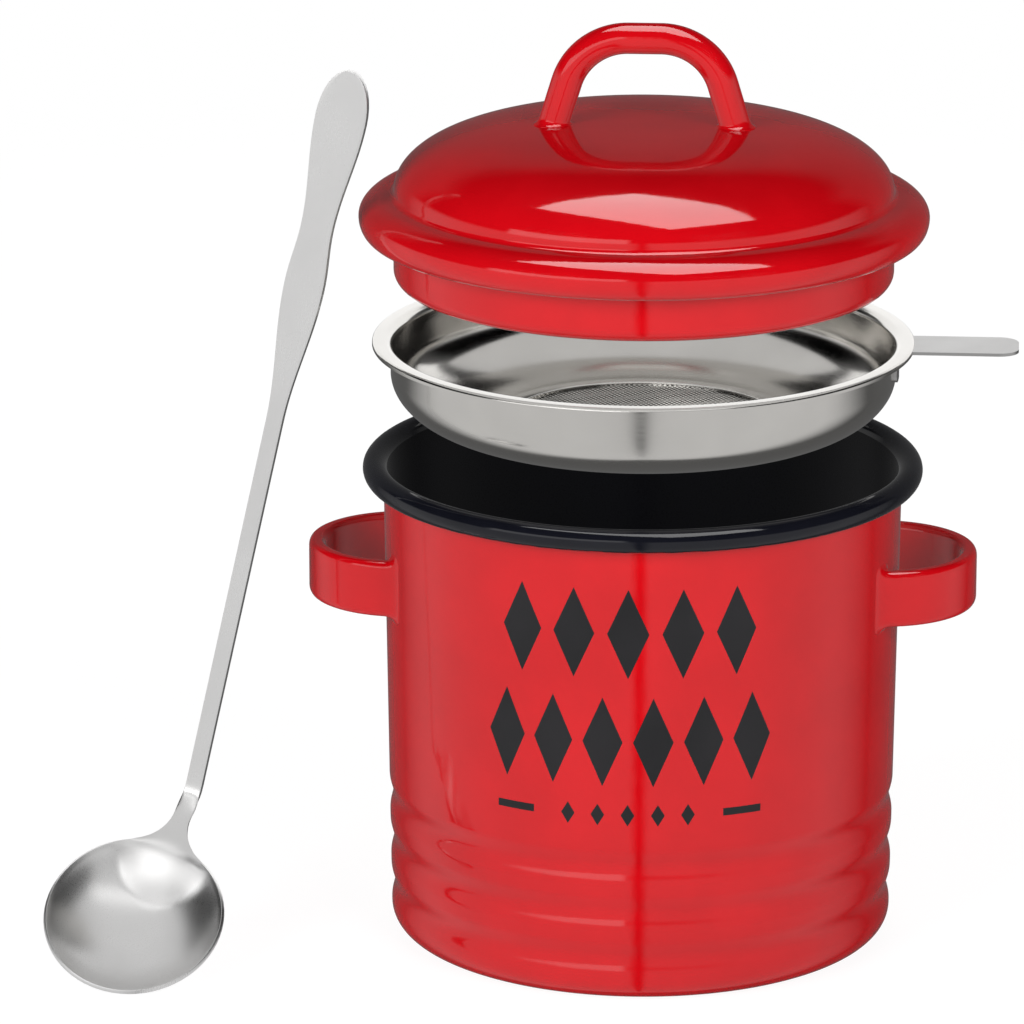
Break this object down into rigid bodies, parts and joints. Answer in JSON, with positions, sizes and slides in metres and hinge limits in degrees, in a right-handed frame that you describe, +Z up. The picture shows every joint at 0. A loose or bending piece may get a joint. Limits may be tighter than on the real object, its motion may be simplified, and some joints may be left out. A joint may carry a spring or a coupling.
{
  "type": "kitchen grease container with strainer, lid and spoon",
  "caption": "Straight round enamelled pot with rolled rim, pressed grooves and strap ears, drop-in strainer with a flat handle, domed lid with an arched bar handle, and long-handled spoon.",
  "frame": {"origin": "middle of the pot's base, on the surface that the pot stands on", "axes": "+Z up along the pot's axis, +X towards the strainer's handle, through both ears; -Y towards the viewer of the picture"},
  "size_m": [0.2422, 0.1428, 0.2352],
  "materials": {
    "red_enamel": "glossy fired enamel",
    "black_enamel": "glossy fired enamel",
    "polished_steel": "polished stainless steel",
    "satin_steel": "lightly brushed stainless steel"
  },
  "bodies": {
    "pot": {"pot_shell": "red_enamel", "pot_lining": "black_enamel", "left_ear": "red_enamel", "right_ear": "red_enamel"},
    "strainer": {"strainer_bowl": "polished_steel", "strainer_mesh": "polished_steel", "mesh_ring": "polished_steel", "strainer_handle": "polished_steel"},
    "lid": {"lid_shell": "red_enamel", "lid_lining": "black_enamel", "lid_handle": "red_enamel"},
    "spoon": {"spoon": "satin_steel"}
  },
  "joints": [
    {"name": "strainer_lift", "type": "slide", "parent": "pot", "child": "strainer", "axis": [0, 0, 1], "range_m": [-0.029, 0]},
    {"name": "lid_lift", "type": "slide", "parent": "strainer", "child": "lid", "axis": [0, 0, 1], "range_m": [-0.027, 0]},
    {"name": "spoon_lift", "type": "slide", "parent": "pot", "child": "spoon", "axis": [0, 0, 1], "range_m": [0, 0.12]}
  ]
}
